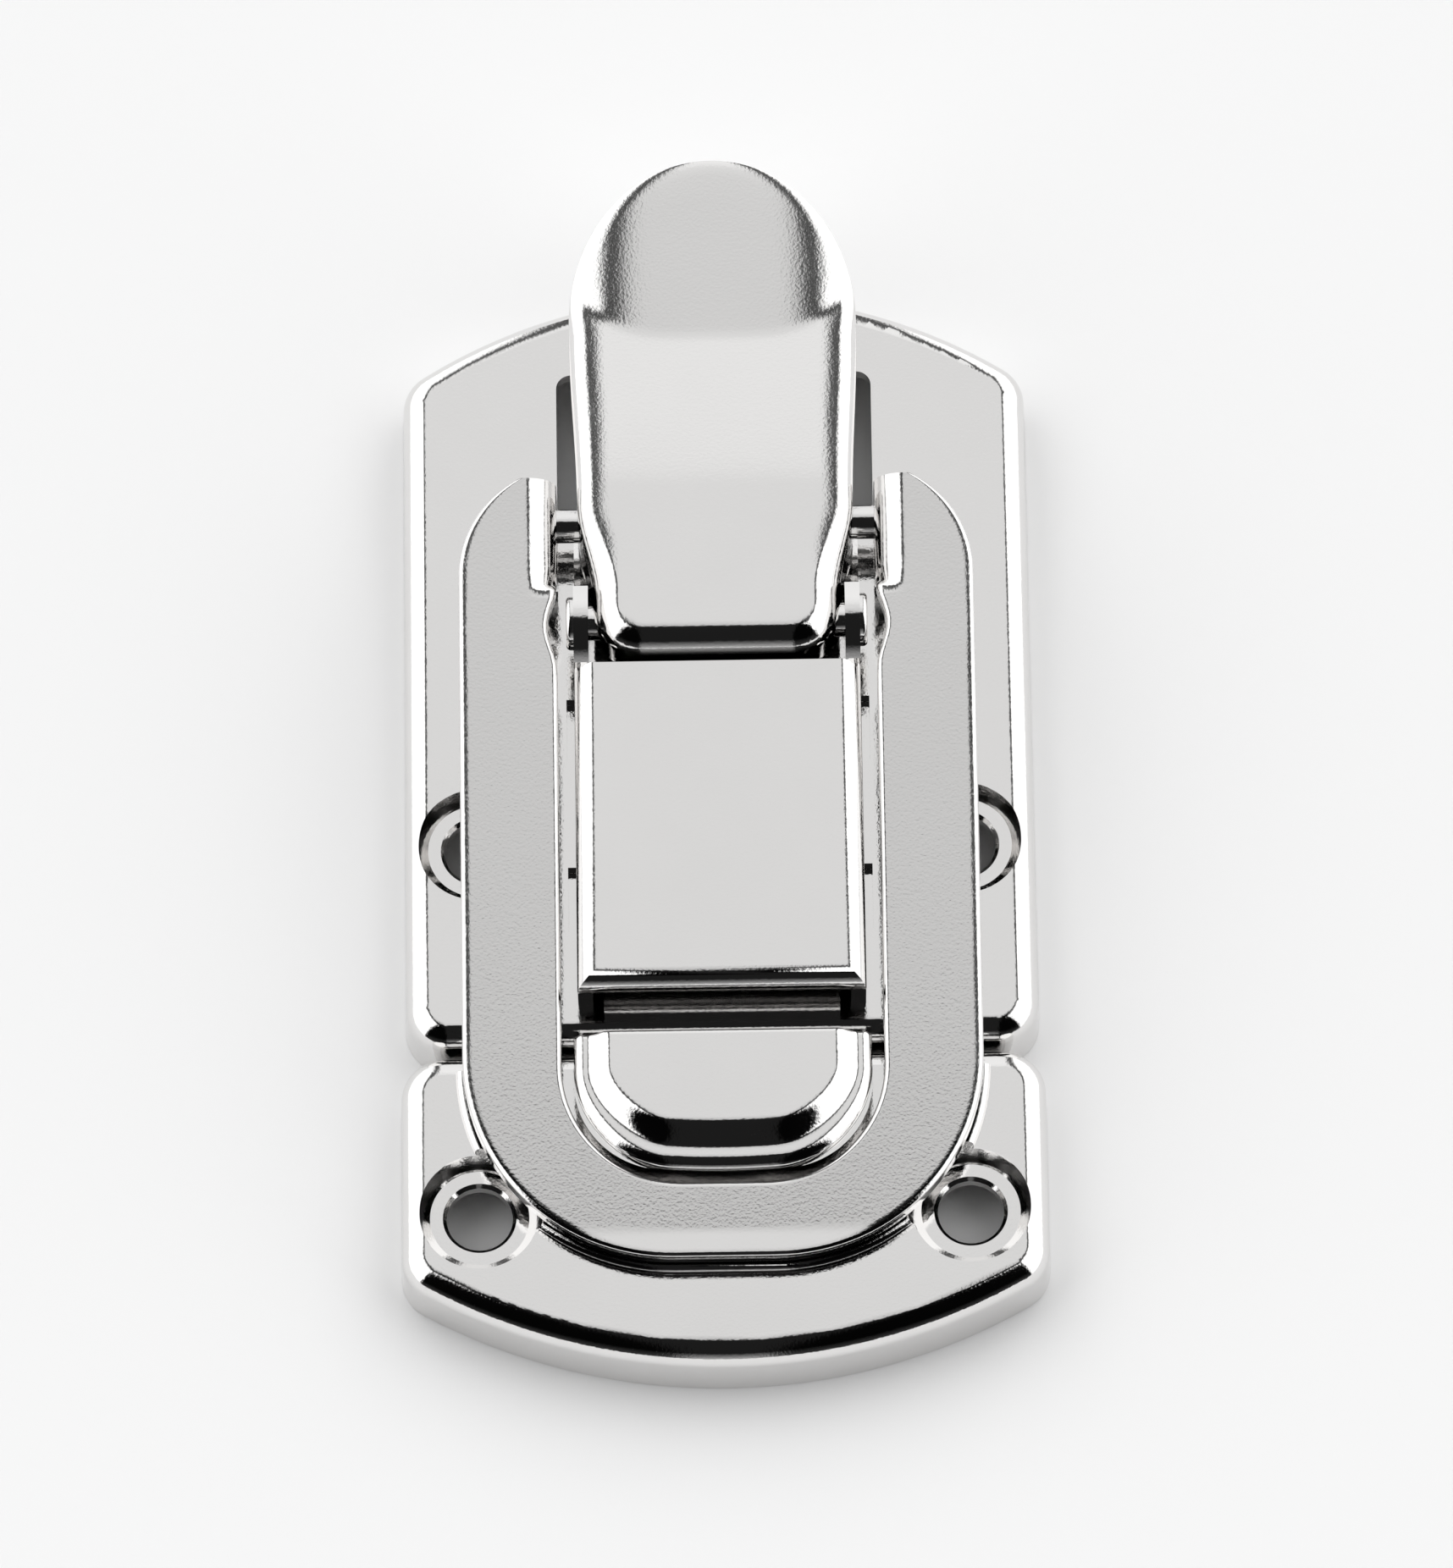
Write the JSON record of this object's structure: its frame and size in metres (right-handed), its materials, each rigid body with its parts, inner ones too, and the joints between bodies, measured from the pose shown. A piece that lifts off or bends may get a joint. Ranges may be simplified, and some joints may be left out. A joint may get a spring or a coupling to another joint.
{
  "type": "over-centre draw latch",
  "caption": "Bright nickel draw latch: dished base plate with pivot bracket, thumb lever and flat loop, and a dished strike plate with a drawn hook for the loop.",
  "frame": {"origin": "middle of the closed latch's length, on its centre line, on the mounting surface", "axes": "+Y from the strike plate towards the lever's tip, +Z away from the mounting surface, +X to the right seen from the strike plate"},
  "size_m": [0.0432, 0.0838, 0.0132],
  "materials": {
    "nickel_sheet": "bright nickel plate on pressed steel sheet",
    "nickel_rivet": "bright nickel plate on a steel rivet"
  },
  "bodies": {
    "plates": {"base_plate": "nickel_sheet", "bracket": "nickel_sheet", "pivot_pin": "nickel_rivet", "strike_plate": "nickel_sheet"},
    "lever": {"lever": "nickel_sheet"},
    "loop": {"loop": "nickel_sheet", "loop_pin": "nickel_rivet"}
  },
  "joints": [
    {"name": "lever_pivot", "type": "hinge", "parent": "plates", "child": "lever", "pos_m": [0, 0.00907, 0.0101], "axis": [1, 0, 0], "range_deg": [0, 112]},
    {"name": "loop_swing", "type": "hinge", "parent": "lever", "child": "loop", "pos_m": [0, 0.01688, 0.0086], "axis": [1, 0, 0], "range_deg": [-125, 0]}
  ],
  "couplings": [
    {"joint": "loop_swing", "follows": "lever_pivot", "ratio": -1.1}
  ]
}
